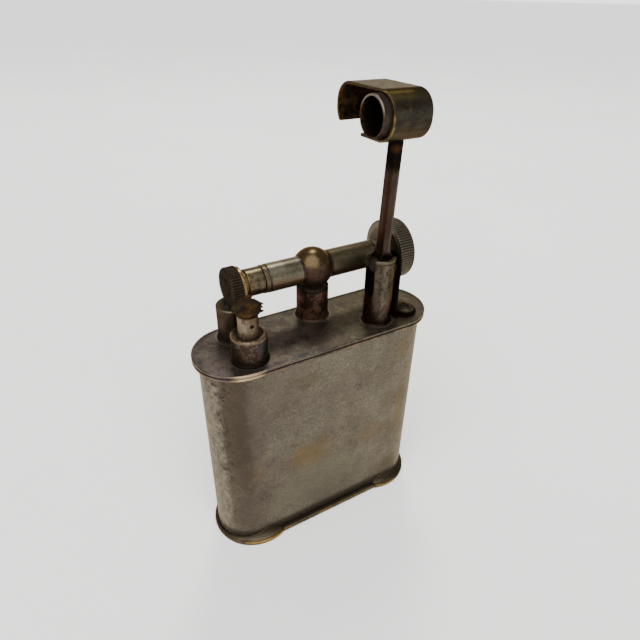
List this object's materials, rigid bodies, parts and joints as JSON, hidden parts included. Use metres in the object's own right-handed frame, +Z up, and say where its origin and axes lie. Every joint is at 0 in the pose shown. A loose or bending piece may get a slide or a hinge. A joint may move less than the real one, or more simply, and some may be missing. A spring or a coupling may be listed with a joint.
{
  "type": "lift-arm petrol pocket lighter",
  "caption": "Oval petrol pocket lighter: knurled thumb wheel and long axle turning a spark wheel over a flint post, a wick burner, and a folding arm with hood and snuffer cup.",
  "frame": {"origin": "middle of the flat underside, on the plane the lighter stands on", "axes": "+X along the tank from the burner end to the thumb wheel end, +Y across the tank from the burner side to the axle side, +Z up"},
  "size_m": [0.043, 0.017, 0.0771],
  "materials": {
    "tank_shell": "worn nickel plate over brass, fine scratches and toning",
    "top_plate": "worn nickel plate, darker, with purple-brown stains",
    "base_plate": "worn nickel plate with bronze tones in the coves",
    "cotton_wadding": "packed cotton",
    "burner_socket": "worn nickel plate",
    "wick_tube": "pale worn nickel plate",
    "wick": "charred frayed cotton",
    "flint_post": "brown worn brass",
    "flint_tube": "dull brass",
    "flint": "dark ferrocerium",
    "flint_plunger": "plain brass",
    "flint_spring": "drawn steel wire",
    "flint_screw": "worn brass",
    "filler_bush": "dull brass",
    "filler_washer": "pressed leather",
    "filler_screw": "worn nickel plate",
    "support_post": "rusty copper-brown, stained",
    "support_ball": "olive-gold worn nickel over brass",
    "axle_tube": "worn nickel plate, copper-brown below",
    "axle_bush_left": "oiled brass",
    "axle_bush_right": "oiled brass",
    "axle_washer": "blackened steel",
    "axle": "turned steel",
    "spark_wheel": "hardened black-brown steel",
    "spark_wheel_hub": "golden bronze",
    "hub_pin": "dark steel",
    "thumb_wheel": "worn nickel knurl, reddish-brown recess",
    "thumb_wheel_hub": "worn nickel plate",
    "axle_nut": "worn nickel plate",
    "arm_post": "pinkish-grey worn nickel with rust",
    "arm_pivot_pin": "steel with rust",
    "leaf_spring": "blackened spring steel",
    "leaf_spring_screw": "dark steel with rust",
    "arm": "worn nickel over brass, sooty at the top",
    "hood_shell": "worn nickel with bright brass edges, sooty inside",
    "snuffer_cup": "sooty brass"
  },
  "bodies": {
    "case": {"tank_shell": "tank_shell", "top_plate": "top_plate", "base_plate": "base_plate", "cotton_wadding": "cotton_wadding", "burner_socket": "burner_socket", "wick_tube": "wick_tube", "wick": "wick", "flint_post": "flint_post", "flint_tube": "flint_tube", "filler_bush": "filler_bush", "support_post": "support_post", "support_ball": "support_ball", "axle_tube": "axle_tube", "axle_bush_left": "axle_bush_left", "axle_bush_right": "axle_bush_right", "axle_washer": "axle_washer", "arm_post": "arm_post", "arm_pivot_pin": "arm_pivot_pin", "leaf_spring": "leaf_spring", "leaf_spring_screw": "leaf_spring_screw", "flint_spring": "flint_spring"},
    "wheel": {"axle": "axle", "spark_wheel": "spark_wheel", "spark_wheel_hub": "spark_wheel_hub", "hub_pin": "hub_pin", "thumb_wheel": "thumb_wheel", "thumb_wheel_hub": "thumb_wheel_hub", "axle_nut": "axle_nut"},
    "arm": {"arm": "arm", "hood_shell": "hood_shell", "snuffer_cup": "snuffer_cup"},
    "flint": {"flint": "flint", "flint_plunger": "flint_plunger"},
    "flint_screw": {"flint_screw": "flint_screw"},
    "filler_screw": {"filler_screw": "filler_screw", "filler_washer": "filler_washer"}
  },
  "joints": [
    {"name": "arm_swing", "type": "hinge", "parent": "case", "child": "arm", "pos_m": [0.01035, -0.00293, 0.05], "axis": [0, -1, 0], "range_deg": [0, 90]},
    {"name": "wheel_spin", "type": "hinge", "parent": "case", "child": "wheel", "pos_m": [0, 0.00393, 0.04907], "axis": [1, 0, 0], "continuous": true},
    {"name": "flint_feed", "type": "slide", "parent": "case", "child": "flint", "axis": [0, 0, 1], "range_m": [-0.0015, 0], "stiffness_N_per_m": 120, "springref_m": 0.012, "deforming": ["flint_spring"]},
    {"name": "flint_screw_turn", "type": "hinge", "parent": "case", "child": "flint_screw", "pos_m": [-0.01308, 0.00393, 0.0004], "axis": [0, 0, -1], "range_deg": [0, 3600]},
    {"name": "filler_screw_turn", "type": "hinge", "parent": "case", "child": "filler_screw", "pos_m": [0.0068, 0, 0.0004], "axis": [0, 0, -1], "range_deg": [0, 2880]}
  ]
}
